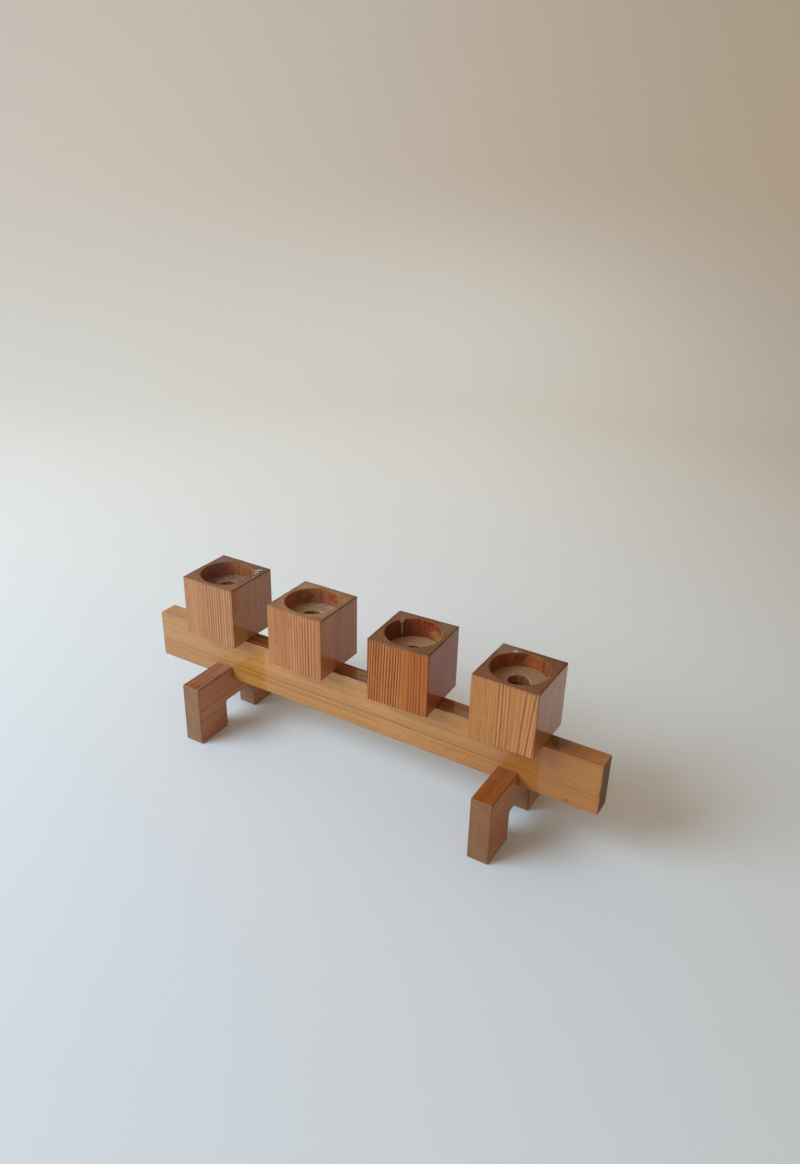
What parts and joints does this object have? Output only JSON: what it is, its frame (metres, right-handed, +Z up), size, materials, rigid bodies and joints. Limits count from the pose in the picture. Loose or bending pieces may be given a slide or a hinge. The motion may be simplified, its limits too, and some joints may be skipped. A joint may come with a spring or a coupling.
{
  "type": "advent candle holder",
  "caption": "Wooden advent candle holder: a row of square candle blocks with round recesses on a board set on edge, which is lapped over bridge-shaped feet.",
  "frame": {"origin": "on the floor under the middle of the beam", "axes": "+X along the beam to the right, +Y to the back, +Z up"},
  "size_m": [0.376, 0.095, 0.1265],
  "materials": {
    "block_pine": "clear gloss lacquer over upright straight grain",
    "beam_pine": "clear lacquer over lengthwise grain",
    "foot_pine": "clear lacquer over lengthwise grain",
    "screw_steel": "dull plain steel"
  },
  "bodies": {
    "stand": {"beam": "beam_pine", "foot_left": "foot_pine", "foot_right": "foot_pine", "foot_screw_left": "screw_steel", "foot_screw_right": "screw_steel", "block_screw_1": "screw_steel", "block_screw_2": "screw_steel", "block_screw_3": "screw_steel", "block_screw_4": "screw_steel"},
    "block_1": {"candle_block_1": "block_pine"},
    "block_2": {"candle_block_2": "block_pine"},
    "block_3": {"candle_block_3": "block_pine"},
    "block_4": {"candle_block_4": "block_pine"}
  },
  "joints": [
    {"name": "block_1_swivel", "type": "hinge", "parent": "stand", "child": "block_1", "pos_m": [-0.1235, 0.002, 0.078], "axis": [0, 0, 1], "continuous": true},
    {"name": "block_2_swivel", "type": "hinge", "parent": "stand", "child": "block_2", "pos_m": [-0.0425, 0.0005, 0.078], "axis": [0, 0, 1], "continuous": true},
    {"name": "block_3_swivel", "type": "hinge", "parent": "stand", "child": "block_3", "pos_m": [0.0425, 0.0005, 0.078], "axis": [0, 0, 1], "continuous": true},
    {"name": "block_4_swivel", "type": "hinge", "parent": "stand", "child": "block_4", "pos_m": [0.1235, -0.002, 0.078], "axis": [0, 0, 1], "continuous": true}
  ]
}
